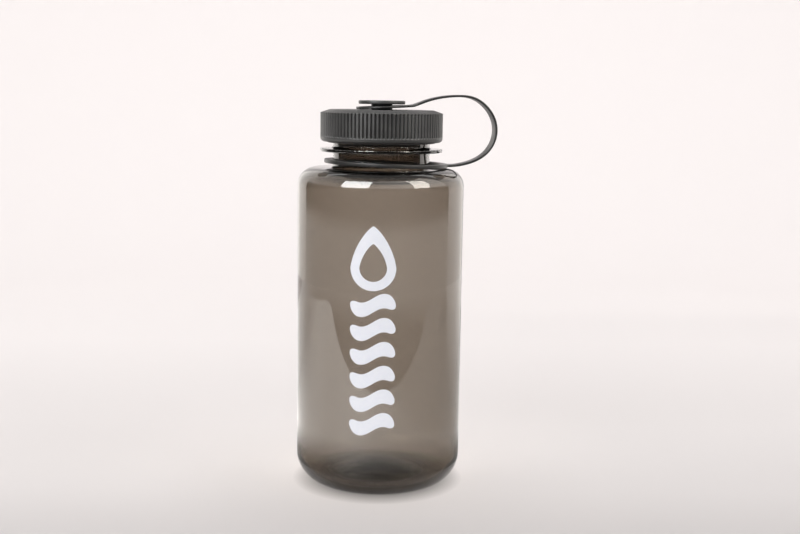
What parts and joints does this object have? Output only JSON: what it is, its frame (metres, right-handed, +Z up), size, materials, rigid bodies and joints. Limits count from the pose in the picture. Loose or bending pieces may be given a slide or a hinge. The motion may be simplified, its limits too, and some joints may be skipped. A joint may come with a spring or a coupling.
{
  "type": "wide-mouth drinking bottle",
  "caption": "Smoked clear wide-mouth drinking bottle with round shoulder and heel, ribbed black screw cap, and a flat carry loop tying cap to neck.",
  "frame": {"origin": "centre of the flat foot ring that the bottle stands on, on the bottle's axis", "axes": "+Z up along the bottle's axis; +X towards the carry loop's side, which leans 10 degrees towards +Y; -Y is the printed front"},
  "size_m": [0.1072, 0.089, 0.2104],
  "materials": {
    "smoked_plastic": "clear smoked brown-grey, glossy",
    "cap_plastic": "black satin moulded plastic",
    "tether_plastic": "black, slightly glossy flexible plastic",
    "gasket_silicone": "translucent off-white silicone",
    "print_ink": "cool white screen-print ink"
  },
  "bodies": {
    "bottle": {"bottle_body": "smoked_plastic"},
    "gasket": {"cap_gasket": "gasket_silicone"},
    "cap": {"cap_shell": "cap_plastic", "cap_button": "cap_plastic"},
    "tether_lower": {"tether_neck_ring": "tether_plastic"},
    "tether_upper": {"tether_strap": "tether_plastic", "tether_eyelet": "tether_plastic"}
  },
  "joints": [
    {"name": "cap_lift", "type": "slide", "parent": "bottle", "child": "gasket", "axis": [0, 0, 1], "range_m": [0, 0.01694]},
    {"name": "cap_turn", "type": "hinge", "parent": "gasket", "child": "cap", "pos_m": [0, 0, 0.192], "axis": [0, 0, 1], "range_deg": [0, 1440]},
    {"name": "tether_swivel", "type": "hinge", "parent": "bottle", "child": "tether_lower", "pos_m": [0, 0, 0.1738], "axis": [0, 0, 1], "continuous": true},
    {"name": "eyelet_lift", "type": "slide", "parent": "tether_lower", "child": "tether_upper", "axis": [0, 0, 1], "range_m": [0, 0.01694]}
  ],
  "couplings": [
    {"joint": "cap_lift", "follows": "cap_turn", "m_per_rad": 0.00067376},
    {"joint": "eyelet_lift", "follows": "cap_turn", "m_per_rad": 0.00067376}
  ]
}
